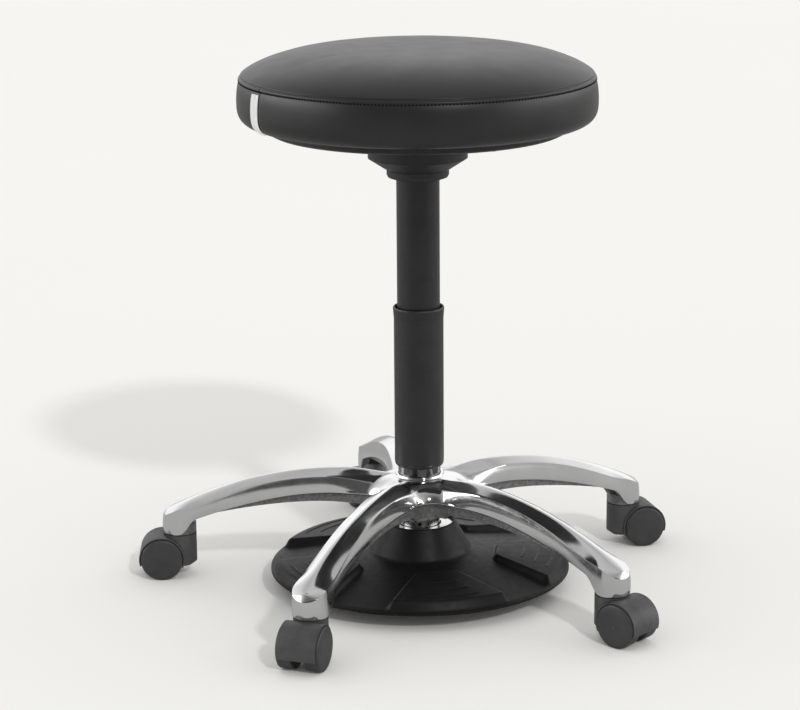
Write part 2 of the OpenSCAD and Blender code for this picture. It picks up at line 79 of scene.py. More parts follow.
# ------------------------------------------------------------------ materials
class Nodes:
    """A small helper that builds one procedural material."""

    def __init__(self, name):
        self.mat = bpy.data.materials.new(name)
        self.mat.use_nodes = True
        self.tree = self.mat.node_tree
        self.shader = self.tree.nodes["Principled BSDF"]
        self.coord = self.tree.nodes.new("ShaderNodeTexCoord")

    def add(self, kind, **values):
        node = self.tree.nodes.new(kind)
        for key, value in values.items():
            if hasattr(node, key):
                setattr(node, key, value)
            else:
                node.inputs[key.replace("_", " ")].default_value = value
        return node

    def link(self, a, b):
        self.tree.links.new(a, b)

    def set(self, **values):
        for key, value in values.items():
            self.shader.inputs[key.replace("_", " ")].default_value = value

    def noise(self, scale, detail=3.0, rough=0.55, stretch=None):
        node = self.add("ShaderNodeTexNoise", Scale=scale, Detail=detail, Roughness=rough)
        source = self.coord.outputs["Object"]
        if stretch:
            mapping = self.add("ShaderNodeMapping", Scale=stretch)
            self.link(source, mapping.inputs["Vector"])
            source = mapping.outputs["Vector"]
        self.link(source, node.inputs["Vector"])
        return node.outputs["Fac"]

    def voronoi(self, scale, feature="F1"):
        node = self.add("ShaderNodeTexVoronoi", feature=feature, Scale=scale)
        self.link(self.coord.outputs["Object"], node.inputs["Vector"])
        return node.outputs["Distance"]

    def ramp(self, fac, stops):
        node = self.tree.nodes.new("ShaderNodeValToRGB")
        ramp = node.color_ramp
        while len(ramp.elements) < len(stops):
            ramp.elements.new(0.5)
        for element, (place, colour) in zip(ramp.elements, stops):
            element.position = place
            element.color = (*colour, 1.0)
        self.link(fac, node.inputs["Fac"])
        return node.outputs["Color"]

    def between(self, fac, low, high, from_low=0.3, from_high=0.7):
        node = self.add("ShaderNodeMapRange")
        limits = {"From Min": from_low, "From Max": from_high, "To Min": low, "To Max": high}
        for key, value in limits.items():
            node.inputs[key].default_value = value
        self.link(fac, node.inputs["Value"])
        return node.outputs["Result"]

    def colour(self, socket):
        self.link(socket, self.shader.inputs["Base Color"])

    def roughness(self, socket):
        self.link(socket, self.shader.inputs["Roughness"])

    def bump(self, heights):
        """Chains bumps: each height is (socket, strength, distance in metres)."""
        last = None
        for socket, strength, distance in heights:
            node = self.add("ShaderNodeBump", Strength=strength, Distance=distance)
            self.link(socket, node.inputs["Height"])
            if last:
                self.link(last, node.inputs["Normal"])
            last = node.outputs["Normal"]
        self.link(last, self.shader.inputs["Normal"])


def grey(v, tint=0.0):
    return (v, v, v * (1 + tint))


def polished_aluminium():
    m = Nodes("polished_aluminium")
    m.set(Metallic=1.0)
    m.colour(m.ramp(m.noise(14, 4), [(0.3, grey(0.72, 0.01)), (0.7, grey(0.82, 0.01))]))
    m.roughness(m.between(m.noise(60, 5), 0.09, 0.16))
    m.bump([(m.noise(28, 2), 0.05, 0.0006), (m.noise(900, 2), 0.03, 0.00002)])
    return m.mat


def rough_cast():
    m = Nodes("rough_cast_aluminium")
    m.set(Metallic=0.85)
    m.colour(m.ramp(m.noise(260, 5), [(0.3, grey(0.16)), (0.72, grey(0.34))]))
    m.roughness(m.between(m.noise(340, 4), 0.42, 0.66))
    m.bump([(m.noise(700, 4), 0.35, 0.0002), (m.voronoi(520), 0.25, 0.0002)])
    return m.mat


def moulded_plastic(name, low, high, rough_low, rough_high, grain=1600, depth=0.25, gloss=0.5):
    m = Nodes(name)
    m.set(Specular_IOR_Level=gloss)
    m.colour(m.ramp(m.noise(45, 6, 0.6), [(0.32, grey(low, 0.04)), (0.7, grey(high, 0.04))]))
    m.roughness(m.between(m.noise(130, 4), rough_low, rough_high))
    m.bump([(m.noise(grain, 3), depth, 0.00012), (m.noise(30, 2), 0.06, 0.0005)])
    return m.mat


def metal(name, low, high, rough_low, rough_high, scale=90, stretch=None):
    m = Nodes(name)
    m.set(Metallic=1.0)
    m.colour(m.ramp(m.noise(scale, 4), [(0.3, grey(low)), (0.7, grey(high))]))
    m.roughness(m.between(m.noise(scale * 2, 4, 0.6, stretch), rough_low, rough_high))
    m.bump([(m.noise(scale * 9, 2, 0.5, stretch), 0.06, 0.00005)])
    return m.mat


def powder_coat():
    m = Nodes("black_powder_coat")
    m.colour(m.ramp(m.noise(70, 5), [(0.3, grey(0.007, 0.05)), (0.7, grey(0.012, 0.05))]))
    m.roughness(m.between(m.noise(150, 4), 0.34, 0.46))
    m.bump([(m.noise(1500, 2), 0.12, 0.00008)])
    return m.mat


def leatherette():
    m = Nodes("black_leatherette")
    m.set(Specular_IOR_Level=0.5)
    m.colour(m.ramp(m.noise(22, 4, 0.5), [(0.3, grey(0.009, 0.03)), (0.72, grey(0.012, 0.03))]))
    m.roughness(m.between(m.noise(40, 3), 0.38, 0.42))
    pebbles = m.voronoi(1100, "SMOOTH_F1")
    m.bump([(pebbles, 0.22, 0.00016), (m.noise(2600, 3), 0.12, 0.00006), (m.noise(26, 2), 0.008, 0.0008)])
    return m.mat


def nylon():
    m = Nodes("natural_nylon")
    m.set(Subsurface_Weight=0.15, Subsurface_Radius=(0.002, 0.002, 0.0015))
    m.colour(m.ramp(m.noise(50, 4), [(0.3, (0.74, 0.71, 0.62)), (0.7, (0.82, 0.80, 0.72))]))
    m.roughness(m.between(m.noise(90, 3), 0.35, 0.5))
    m.bump([(m.noise(400, 3), 0.1, 0.0001)])
    return m.mat


def rubber():
    m = Nodes("black_rubber")
    m.colour(m.ramp(m.noise(120, 4), [(0.3, grey(0.012)), (0.7, grey(0.022))]))
    m.roughness(m.between(m.noise(200, 4), 0.6, 0.8))
    m.bump([(m.noise(900, 3), 0.2, 0.0001)])
    return m.mat


def plywood():
    m = Nodes("plywood")
    grain = m.noise(20, 6, 0.6, (1, 14, 60))
    m.colour(m.ramp(grain, [(0.3, (0.42, 0.28, 0.15)), (0.7, (0.66, 0.49, 0.30))]))
    m.roughness(m.between(m.noise(80, 4), 0.55, 0.75))
    m.bump([(m.noise(120, 5, 0.6, (1, 18, 40)), 0.3, 0.0003)])
    return m.mat


def foam():
    m = Nodes("seat_foam")
    m.colour(m.ramp(m.noise(60, 5), [(0.3, (0.62, 0.55, 0.33)), (0.7, (0.76, 0.70, 0.48))]))
    m.roughness(m.between(m.noise(100, 4), 0.8, 0.95))
    m.bump([(m.voronoi(900), 0.6, 0.0006)])
    return m.mat


def brass():
    m = Nodes("brass")
    m.set(Metallic=1.0)
    m.colour(m.ramp(m.noise(90, 4), [(0.3, (0.60, 0.42, 0.18)), (0.7, (0.74, 0.56, 0.28))]))
    m.roughness(m.between(m.noise(180, 4), 0.2, 0.34))
    m.bump([(m.noise(700, 2), 0.06, 0.00005)])
    return m.mat


def cloth_tag():
    m = Nodes("white_tag")
    m.colour(m.ramp(m.noise(90, 4), [(0.3, grey(0.70)), (0.7, grey(0.82))]))
    m.roughness(m.between(m.noise(200, 3), 0.7, 0.85))
    wave = m.add("ShaderNodeTexWave", Scale=1500.0, Distortion=0.4)
    m.link(m.coord.outputs["Object"], wave.inputs["Vector"])
    m.bump([(wave.outputs["Fac"], 0.25, 0.0001), (m.noise(500, 2), 0.2, 0.0002)])
    return m.mat


def thread():
    m = Nodes("black_thread")
    m.set(Specular_IOR_Level=0.1)
    # Partly the thread's own black, partly painted shade: kept darker than the leather and matt so the
    # stitches read as the shaded needle holes.
    m.colour(m.ramp(m.noise(400, 3), [(0.3, grey(0.002)), (0.7, grey(0.005))]))
    m.roughness(m.between(m.noise(600, 3), 0.7, 0.9))
    wave = m.add("ShaderNodeTexWave", Scale=2600.0)
    m.link(m.coord.outputs["Object"], wave.inputs["Vector"])
    m.bump([(wave.outputs["Fac"], 0.4, 0.0001)])
    return m.mat


def floor_material():
    """Pale studio paper; glossy rays see it as a darker grey, a painted reflection tone that dims the floor
    in what gloss mirrors.
    """
    m = Nodes("studio_floor")
    pale = m.ramp(m.noise(0.6, 2), [(0.3, (0.905, 0.898, 0.868)), (0.7, (0.915, 0.908, 0.878))])
    path = m.tree.nodes.new("ShaderNodeLightPath")
    mix = m.tree.nodes.new("ShaderNodeMix")
    mix.data_type = "RGBA"
    m.link(path.outputs["Is Glossy Ray"], mix.inputs["Factor"])
    m.link(pale, mix.inputs["A"])
    # Painted reflection: the darker grey that glossy rays see in place of the paper's colour.
    mix.inputs["B"].default_value = (0.48, 0.48, 0.47, 1)
    m.colour(mix.outputs["Result"])
    m.set(Specular_IOR_Level=0.0)
    m.roughness(m.between(m.noise(3, 2), 0.8, 0.9))
    return m.mat


SLOT_MATERIALS = {
    "polished_aluminium": polished_aluminium(),
    "dark_steel": metal("dark_steel", 0.10, 0.20, 0.12, 0.24),
    "bright_steel": metal("bright_steel", 0.62, 0.74, 0.08, 0.18),
    "turned_steel": metal("turned_steel", 0.40, 0.54, 0.22, 0.36, 120),
    "black_oxide_steel": metal("black_oxide_steel", 0.02, 0.04, 0.3, 0.45),
    "black_powder_coat": powder_coat(),
    "black_plastic": moulded_plastic("black_plastic", 0.010, 0.016, 0.42, 0.54),
    "disc_plastic": moulded_plastic("disc_plastic", 0.005, 0.008, 0.42, 0.52, 1100, 0.3, 0.2),
    "caster_plastic": moulded_plastic("caster_plastic", 0.038, 0.068, 0.48, 0.60, 1300, 0.45),
    "wheel_nylon": moulded_plastic("wheel_nylon", 0.027, 0.041, 0.44, 0.56, 1500, 0.35),
    "natural_nylon": nylon(),
    "brass": brass(),
    "black_rubber": rubber(),
    "plywood": plywood(),
    "foam": foam(),
    "black_leatherette": leatherette(),
    "white_tag": cloth_tag(),
    "black_thread": thread(),
}
ROUGH_CAST = rough_cast()


def dress_cad_nodes():
    """Every CAD node takes its record slot's procedural material."""
    slot_of = {s["node"]: s["material_slot"] for s in frame["record"]["subparts"]}
    for name, obj in frame["nodes"].items():
        obj.data.materials.clear()
        obj.data.materials.append(SLOT_MATERIALS[slot_of[name]])


# ------------------------------------------------------------------ mesh helpers
def mesh_piece(name, verts, faces, material, body, sharp=35, second=None, second_faces=()):
    """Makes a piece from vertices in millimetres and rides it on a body."""
    mesh = bpy.data.meshes.new(name)
    mesh.from_pydata([(x * MM, y * MM, z * MM) for x, y, z in verts], [], faces)
    mesh.materials.append(material)
    if second:
        mesh.materials.append(second)
        for index in second_faces:
            mesh.polygons[index].material_index = 1
    clean(mesh)
    finish_shading(mesh, sharp)
    obj = bpy.data.objects.new(name, mesh)
    bpy.context.scene.collection.objects.link(obj)
    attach(obj, body)
    return obj


def clean(mesh, distance=0.00001):
    bm = bmesh.new()
    bm.from_mesh(mesh)
    bmesh.ops.remove_doubles(bm, verts=bm.verts, dist=distance)
    bmesh.ops.dissolve_degenerate(bm, edges=bm.edges, dist=distance / 2)
    bmesh.ops.recalc_face_normals(bm, faces=bm.faces)
    bm.to_mesh(mesh)
    bm.free()


def finish_shading(mesh, sharp):
    mesh.shade_smooth()
    mesh.set_sharp_from_angle(angle=rad(sharp))


# ------------------------------------------------------------------ star base
# Heights and widths of an arm take a, the distance from the column's axis
def ridge_z(a):
    """Height of an arm's ridge at distance a from the axis."""
    if a < 85:
        return 134.8 + 5.5 * smooth((a - HUB_R) / 56)
    return 140.3 - 60 * ((a - 85) / 225) ** 2


def lip_z(a):
    """Height of the polished side's lower edge."""
    if a < 95:
        return 113.0
    height = 113 - 56 * ((a - 95) / 215) ** 1.75
    return lerp(height, TIP_BOTTOM_Z, smooth((a - 268) / 20))


def half_width(a):
    """Half the arm's width, wider at the hub and again toward the tip."""
    flare = 7 * (max(0, 150 - a) / 100) ** 1.6
    toe = 2.2 * (max(0, a - 170) / 120) ** 2
    return 18.3 + flare + toe


def draft(a):
    """How much further out the lip is than the shoulder."""
    return lerp(2.6, 0.7, smooth((a - 150) / 140))


def shoulder_z(a):
    """Height of the edge between an arm's top and its side."""
    drop = lerp(8.5, 6.2, smooth((a - 60) / 60))
    drop = lerp(drop, 8.6, smooth((a - 170) / 90))
    return ridge_z(a) - lerp(drop, 4.4, smooth((a - 262) / 30))


def outline(inset, web_r, tip_a, tip_r):
    """Half an arm's outline from the middle of the web to the tip, as (x, y, a) with a the station."""
    half = STEP / 2
    width = half_width(60) - inset
    sin_half = math.sin(rad(half))
    fillet = (web_r * sin_half - width) / (1 - sin_half)
    centre = (width + fillet) / sin_half
    start = centre * math.cos(rad(half))
    points = []
    arc = 12
    for i in range(arc + 1):
        turn = rad(lerp(0, 90 - half, i / arc))
        back = rad(half) + math.pi + turn
        x = centre * math.cos(rad(half)) + fillet * math.cos(back)
        y = centre * math.sin(rad(half)) + fillet * math.sin(back)
        points.append((x, y, start))
    for i in range(1, SIDE_POINTS + 1):
        a = lerp(start, tip_a, i / SIDE_POINTS)
        w = (half_width(max(a, 60)) - inset) if a < tip_a else tip_r
        points.append((a, w, a))
    tip = 14
    for i in range(1, tip + 1):
        turn = rad(90 * (1 - i / tip))
        reach = tip_a + tip_r * math.cos(turn)
        points.append((reach, tip_r * math.sin(turn), reach))
    return points, arc


def star_columns():
    """Columns of points over half an arm: each runs from the spine over the arm, under it and back."""
    lip, arc = outline(0, 57.5, STEM_CIRCLE, BOSS_R)
    columns = []
    base_shoulder, _ = outline(3.6, 50.5, STEM_CIRCLE, BOSS_R - 0.6)
    for j, (x, y, a) in enumerate(lip):
        sx, sy, _ = base_shoulder[j]
        on_web = j <= arc
        if not on_web and j <= arc + SIDE_POINTS:
            sy = y - draft(a)
            sx = lerp(sx, x, smooth((j - arc) / 8))
        columns.append(star_column(j, arc, (x, y, a), (sx, sy)))
    return columns


def star_column(j, arc, lip_point, shoulder_point):
    """One column of the casting: the crown from the spine to the lip, the rolled lip and the underside."""
    x, y, a = lip_point
    sx, sy = shoulder_point
    on_web = j <= arc
    if on_web:
        t = j / arc
        phi = rad(STEP / 2 * (1 - smooth(t) * 0.999))
        spine = Vector((COLLAR_R * math.cos(phi), COLLAR_R * math.sin(phi), COLLAR_Z))
        zs = lerp(WEB_SHOULDER_Z, shoulder_z(a), smooth(t))
    else:
        side = (j - arc) / SIDE_POINTS
        reach = min(1.0, side * 2.4)
        spine_a = min(lerp(COLLAR_R, a, smooth(reach) ** 0.6), STEM_CIRCLE + 13)
        spine = Vector((spine_a, 0, ridge_z(spine_a) if spine_a > HUB_R + 2 else COLLAR_Z))
        zs = shoulder_z(min(a, 310))
    shoulder = Vector((sx, sy, zs))
    lip = Vector((x, y, lip_z(a)))
    out = Vector((x - sx, y - sy, 0))
    out = out.normalized() if out.length > 0.2 else Vector((0, 1, 0))
    points = arm_section(spine, shoulder, lip, out, lerp(0.03, 0.9, smooth((a - 205) / 65)))
    swept = web_section(spine, lip, len(points))
    share = smooth((j - 7) / 13)
    points = [web.lerp(arm, share) for arm, web in zip(points, swept)]
    inner = -out
    for turn in (-25, 15, 55, 90):
        centre = lip + inner * LIP_R + Vector((0, 0, LIP_R))
        fall = Vector((0, 0, LIP_R * math.sin(rad(turn))))
        points.append(centre + out * LIP_R * math.cos(rad(turn)) - fall)
    polished = len(points) - 1
    points.append(lip + inner * 4.2 + Vector((0, 0, 0.4)))
    points.extend(underside(j, arc, a, lip, inner, spine))
    return points, polished


def arm_section(spine, shoulder, lip, out, soft):
    """An arm's section: a low gable, rounder toward the tip, a crisp shoulder and a slightly full side."""
    points = []
    rows = 9
    slant = shoulder - spine
    edge = 1 - 1.3 / max(6, slant.length)
    for i in range(rows + 1):
        v = i / rows
        p = spine.lerp(shoulder, v * edge)
        crown = (math.sqrt(v * v + soft) - math.sqrt(soft)) / (math.sqrt(1 + soft) - math.sqrt(soft))
        p.z = lerp(spine.z, shoulder.z, crown * edge)
        points.append(p)
    down = (lip - shoulder).normalized()
    points.append(shoulder + down * 0.3)
    points.append(shoulder + down * 1.4)
    top = shoulder + down * 1.4
    for i in range(1, 6):
        v = i / 6
        points.append(top.lerp(lip, v) + out * 0.6 * math.sin(math.pi * v))
    return points


def web_section(spine, lip, count):
    """The saddle between two arms: one sweep from level at the collar to upright at the lip."""
    points = []
    for i in range(count):
        t = rad(90 * i / count)
        flat = math.sin(t)
        p = Vector((lerp(spine.x, lip.x, flat), lerp(spine.y, lip.y, flat), 0))
        p.z = lip.z + (spine.z - lip.z) * math.cos(t) ** 1.15
        points.append(p)
    return points


def underside(j, arc, a, lip, inner, spine):
    """The rough rib inside the lip, the hollow behind it, and the roof of the hollow."""
    if j <= arc:
        phi = math.atan2(lip.y, lip.x)
        turn = rad(STEP / 2 * (1 - smooth(j / arc) * 0.999))
        across = Vector((math.cos(turn), math.sin(turn), 0))
        ceiling = Vector((0, 0, HOLLOW_Z))
        wall = lip + inner * 5.5
        foot = Vector((wall.x, wall.y, HOLLOW_Z))
        return [Vector((wall.x, wall.y, lip.z + 0.5)), foot, foot + inner * 2.5,
                *(across * r + ceiling for r in (43, 38, 31, BORE_R))]
    drop = 11.5 * max(0, 1 - (max(0, a - 60) / 190) ** 2)
    wall = lip + inner * 5.2
    low = max(54.3, lip.z - drop)
    if a > 266:
        low = lip.z + 0.5
    a_in = min(max(a, 62), 300)
    roof = ridge_z(a_in) - 8
    w = max(2.0, half_width(a_in) - 11)
    side = Vector((a_in, w, 0))
    if a > STEM_CIRCLE:
        share = (a - STEM_CIRCLE) / BOSS_R
        side = Vector((STEM_CIRCLE + 10 * share, w * math.sqrt(max(0.0, 1 - share * share)), 0))
    top = min(roof, shoulder_z(min(a_in, 300)) - 3)
    foot_in = Vector((side.x, side.y, low))
    return [Vector((wall.x, wall.y, lip.z + 0.5)), Vector((wall.x, wall.y, low)), foot_in,
            Vector((side.x, side.y, lerp(low, top, 0.6))), Vector((side.x, side.y * 0.93, top)),
            Vector((side.x, side.y * 0.5, roof - 0.6)), Vector((min(side.x, 300), 0, roof))]


def star_base():
    """The die-cast base: five arms swept round the hub, the collar with its bore, and the end bosses."""
    columns = star_columns()
    rows = len(columns[0][0])
    polished = columns[0][1]
    sectors = []
    for k in range(ARMS):
        spin = Matrix.Rotation(rad(ARM_AZ + k * STEP), 4, "Z")
        left = [[spin @ p for p in col] for col, _ in columns]
        flip = [[spin @ Vector((p.x, -p.y, p.z)) for p in col] for col, _ in columns]
        sectors.append(flip + left[::-1])
    loop = [col for sector in sectors for col in sector]
    verts = [tuple(p) for col in loop for p in col]
    faces, rough = [], []
    count = len(loop)
    for c in range(count):
        d = (c + 1) % count
        for r in range(rows - 1):
            if r >= polished:
                rough.append(len(faces))
            faces.append((c * rows + r, d * rows + r, d * rows + r + 1, c * rows + r + 1))
    add_collar(verts, faces, rough, columns)
    add_bosses(verts, faces, rough)
    mesh = bpy.data.meshes.new("star_base_casting")
    mesh.from_pydata([(x * MM, y * MM, z * MM) for x, y, z in verts], [], faces)
    mesh.materials.append(SLOT_MATERIALS["polished_aluminium"])
    mesh.materials.append(ROUGH_CAST)
    for index in rough:
        mesh.polygons[index].material_index = 1
    clean(mesh, 0.00002)
    finish_shading(mesh, 42)
    obj = bpy.data.objects.new("star_base_casting", mesh)
    bpy.context.scene.collection.objects.link(obj)
    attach(obj, "base")
    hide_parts("star_base")
    return obj


def add_collar(verts, faces, rough, columns):
    """The hub's collar and bore, on the same spokes as the web columns."""
    angles = []
    for k in range(ARMS):
        half = [math.atan2(col[0].y, col[0].x) for col, _ in columns[:13]]
        centre = rad(ARM_AZ + k * STEP)
        angles += [centre - h for h in half] + [centre + h for h in half[::-1]]
    profile = [(COLLAR_R, COLLAR_Z), (HUB_R + 0.3, 134.9), (HUB_R, 135.6), (HUB_R, 136.3),
               (HUB_R - 0.35, 136.85), (HUB_R - 1.0, 137.0), (25.6, 137.0), (25.1, 136.4),
               (BORE_R, HOLLOW_Z)]
    start = len(verts)
    for ang in angles:
        verts.extend((r * math.cos(ang), r * math.sin(ang), z) for r, z in profile)
    rows, count = len(profile), len(angles)
    for c in range(count):
        d = (c + 1) % count
        for r in range(rows - 1):
            if r >= 6:
                rough.append(len(faces))
            near, far = start + c * rows + r, start + d * rows + r
            faces.append((near, far, far + 1, near + 1))


def add_bosses(verts, faces, rough):
    """A round boss with a socket at the end of each arm."""
    profile = [(5.6, 54.2), (19.0, 54.2), (19.4, 54.6), (19.4, 66), (12, 72), (5.6, 72)]
    segments = 64
    for k in range(ARMS):
        ang = rad(ARM_AZ + k * STEP)
        cx, cy = STEM_CIRCLE * math.cos(ang), STEM_CIRCLE * math.sin(ang)
        start = len(verts)
        for i in range(segments):
            t = TAU * i / segments
            verts.extend((cx + r * math.cos(t), cy + r * math.sin(t), z) for r, z in profile)
        rows = len(profile)
        for c in range(segments):
            d = (c + 1) % segments
            for r in range(rows):
                s = (r + 1) % rows
                rough.append(len(faces))
                near, far = start + c * rows, start + d * rows
                faces.append((near + r, far + r, far + s, near + s))


# ------------------------------------------------------------------ cushion
SEAM_R = 201.6
SEAM_Z = 611.2
CROWN_Z = 639.8
SIDE_SEAM_AZ = 199.8
TAG_TOP = 602.0
STITCH_R = 203.3
STITCH_Z = 605.0


def cushion_profile():
    """(radius, height, pinned) rows from the crown down the side and across the underside."""
    rows = []
    count = 28
    for i in range(1, count + 1):
        r = SEAM_R * (1 - (1 - i / count) ** 1.35)
        z = SEAM_Z + (CROWN_Z - SEAM_Z) * (1 - (r / SEAM_R) ** 4.05) ** 0.8
        rows.append((r, z, i == count))
    rows += [(201.7, 610.7, True), (201.1, 610.0, True), (201.7, 609.3, True), (202.7, 608.7, True),
             (203.7, 607.8, True), (204.1, 606.8, True), (203.8, 605.8, True), (203.2, 605.0, True),
             (203.5, 604.2, True), (204.3, 602.6, False), (205.0, 599.8, False), (205.6, 596.0, False),
             (206.1, 591.6, False), (206.4, 586.6, False), (206.6, 581.4, False), (206.6, 576.4, False),
             (206.3, 571.6, False), (205.5, 567.4, False), (203.9, 563.6, False), (201.4, 560.4, False),
             (198.0, 557.8, False), (194.0, 556.0, True), (189.5, 555.2, True), (182.0, 555.0, True),
             (170.0, 555.0, True), (157.5, 555.0, True), (157.0, 555.5, True), (157.0, 556.3, True),
             (120.0, 556.4, True), (60.0, 556.4, True)]
    return rows


def cushion_angles():
    """Columns round the cushion, close together beside the upright seam."""
    turns = {round(i * 2.0, 3) for i in range(180)}
    near = (-1.6, -1.0, -0.6, -0.3, -0.12, 0.0, 0.12, 0.3, 0.6, 1.0, 1.6)
    turns = {t for t in turns if abs((t - SIDE_SEAM_AZ + 180) % 360 - 180) > 1.9}
    turns |= {round((SIDE_SEAM_AZ + n) % 360, 3) for n in near}
    return sorted(turns)


def seam_dent(az, z):
    """How far the upright seam pulls the boxing in at a direction and height."""
    off = (az - SIDE_SEAM_AZ + 180) % 360 - 180
    if z > 608.8 or z < 555.5:
        return 0.0
    lap = 0.35 * (1 if off > 0 else -1) * math.exp(-abs(off) / 0.9)
    groove = -1.15 * math.exp(-(off / 0.22) ** 2) - 0.5 * math.exp(-(off / 1.3) ** 2)
    return groove + lap * min(1, abs(off) * 4)


def cushion_mesh():
    """Points, faces and sewn-down point numbers of the cushion before it is filled."""
    profile = cushion_profile()
    angles = cushion_angles()
    verts = [(0.0, 0.0, CROWN_Z)]
    pins = []
    noise = random.Random(11)
    phases = [(noise.uniform(0, TAU), noise.choice((5, 8, 13, 21))) for _ in range(6)]
    for row, (r, z, pinned) in enumerate(profile):
        for az in angles:
            a = rad(az)
            rr = r + seam_dent(az, z)
            zz = z
            if not pinned:
                ripple = sum(math.sin(n * a + p + row * 0.35) for p, n in phases) / 6
                zz += 0.08 * ripple
                rr -= 0.4
            if pinned:
                pins.append(len(verts))
            verts.append((rr * math.cos(a), rr * math.sin(a), zz))
    bottom = len(verts)
    verts.append((0.0, 0.0, 556.4))
    pins.append(bottom)
    n = len(angles)
    faces = [(0, 1 + c, 1 + (c + 1) % n) for c in range(n)]
    for row in range(len(profile) - 1):
        for c in range(n):
            d = (c + 1) % n
            faces.append((1 + row * n + c, 1 + (row + 1) * n + c, 1 + (row + 1) * n + d, 1 + row * n + d))
    last = 1 + (len(profile) - 1) * n
    faces += [(last + c, bottom, last + (c + 1) % n) for c in range(n)]
    return verts, faces, pins


def even_out(mesh, steps, held, passes=36):
    """Averages each point's movement with its neighbours', so the filling has no sharp dimples."""
    near = [[] for _ in steps]
    for edge in mesh.edges:
        a, b = edge.vertices
        near[a].append(b)
        near[b].append(a)
    for _ in range(passes):
        mixed = []
        for i, step in enumerate(steps):
            if i in held:
                mixed.append(step)
                continue
            mean = sum((steps[j] for j in near[i]), Vector((0, 0, 0))) / len(near[i])
            mixed.append(step.lerp(mean, 0.7))
        steps = mixed
    return steps


def inflate(obj, pins, frames=20, cap=0.0009):
    """Runs the cloth simulation under a gentle pressure, and keeps each point within a cap of its start."""
    group = obj.vertex_groups.new(name="sewn")
    group.add(pins, 1.0, "REPLACE")
    cloth = obj.modifiers.new("cloth", "CLOTH")
    settings = cloth.settings
    settings.quality = 6
    settings.mass = 0.35
    settings.tension_stiffness = 30
    settings.compression_stiffness = 20
    settings.shear_stiffness = 15
    settings.bending_stiffness = 1.5
    settings.vertex_group_mass = "sewn"
    settings.effector_weights.gravity = 0
    settings.use_pressure = True
    settings.uniform_pressure_force = 4
    settings.shrink_min = -0.003
    cloth.collision_settings.use_collision = False
    start = [v.co.copy() for v in obj.data.vertices]
    for frame_number in range(1, frames + 1):
        bpy.context.scene.frame_set(frame_number)
    solved = obj.evaluated_get(bpy.context.evaluated_depsgraph_get())
    moved = [v.co.copy() for v in solved.data.vertices]
    obj.modifiers.clear()
    bpy.context.scene.frame_set(1)
    steps = []
    for a, b in zip(start, moved):
        step = b - a
        reach = step.length
        if reach > 1e-9:
            step *= cap * math.tanh(reach / cap) / reach
        steps.append(step)
    steps = even_out(obj.data, steps, set(pins))
    for vertex, a, step in zip(obj.data.vertices, start, steps):
        vertex.co = a + step


def apply_modifier(obj, kind, **values):
    modifier = obj.modifiers.new("made", kind)
    for key, value in values.items():
        setattr(modifier, key, value)
    graph = bpy.context.evaluated_depsgraph_get()
    made = bpy.data.meshes.new_from_object(obj.evaluated_get(graph), depsgraph=graph)
    obj.modifiers.clear()
    obj.data = made


def cushion():
    """The padded seat: one skin over cover and foam, filled out by the cloth simulation."""
    verts, faces, pins = cushion_mesh()
    mesh = bpy.data.meshes.new("seat_cushion")
    mesh.from_pydata([(x * MM, y * MM, z * MM) for x, y, z in verts], [], faces)
    mesh.materials.append(SLOT_MATERIALS["black_leatherette"])
    mesh.shade_smooth()
    obj = bpy.data.objects.new("seat_cushion", mesh)
    bpy.context.scene.collection.objects.link(obj)
    inflate(obj, pins)
    apply_modifier(obj, "SUBSURF", levels=1, render_levels=1)
    obj.data.name = "seat_cushion"
    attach(obj, "seat")
    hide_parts("seat_cover", "cushion_foam")
    return obj


def side_radius(z):
    """The boxing's radius at a height."""
    rows = [(r, zz) for r, zz, _ in cushion_profile() if 555 <= zz <= 608]
    rows.sort(key=lambda row: row[1])
    for (r0, z0), (r1, z1) in zip(rows, rows[1:]):
        if z0 <= z <= z1 and z1 > z0:
            return lerp(r0, r1, (z - z0) / (z1 - z0))
    return rows[-1][0]


def capsule(verts, faces, centre, along, out, length, radius, sides=6):
    """Adds a small rounded thread segment."""
    across = along.cross(out).normalized()
    rings = [(-0.5, 0.25), (-0.42, 0.75), (-0.2, 1.0), (0.2, 1.0), (0.42, 0.75), (0.5, 0.25)]
    start = len(verts)
    for place, fat in rings:
        for s in range(sides):
            t = TAU * s / sides
            side = across * math.cos(t) + out * math.sin(t)
            p = centre + along * (place * length) + side * radius * fat
            verts.append(tuple(p))
    for ring in range(len(rings) - 1):
        for s in range(sides):
            e = (s + 1) % sides
            a, b = start + ring * sides, start + (ring + 1) * sides
            faces.append((a + s, a + e, b + e, b + s))
    faces.append(tuple(start + s for s in range(sides))[::-1])
    faces.append(tuple(start + (len(rings) - 1) * sides + s for s in range(sides)))


def stitches():
    """The row of stitches under the felled seam."""
    verts, faces = [], []
    count = 318
    for i in range(count):
        a = TAU * i / count
        out = Vector((math.cos(a), math.sin(a), 0.1)).normalized()
        along = Vector((-math.sin(a), math.cos(a), 0))
        height = STITCH_Z + 0.06 * math.sin(7 * a)
        centre = Vector((STITCH_R * math.cos(a), STITCH_R * math.sin(a), height))
        # These dark capsules show the thread and also stand in, as painted shade, for the shade in the
        # needle holes.
        capsule(verts, faces, centre, along, out, 2.2, 1.05)
    return mesh_piece("seam_stitches", verts, faces, SLOT_MATERIALS["black_thread"],
                      "seat", 60)


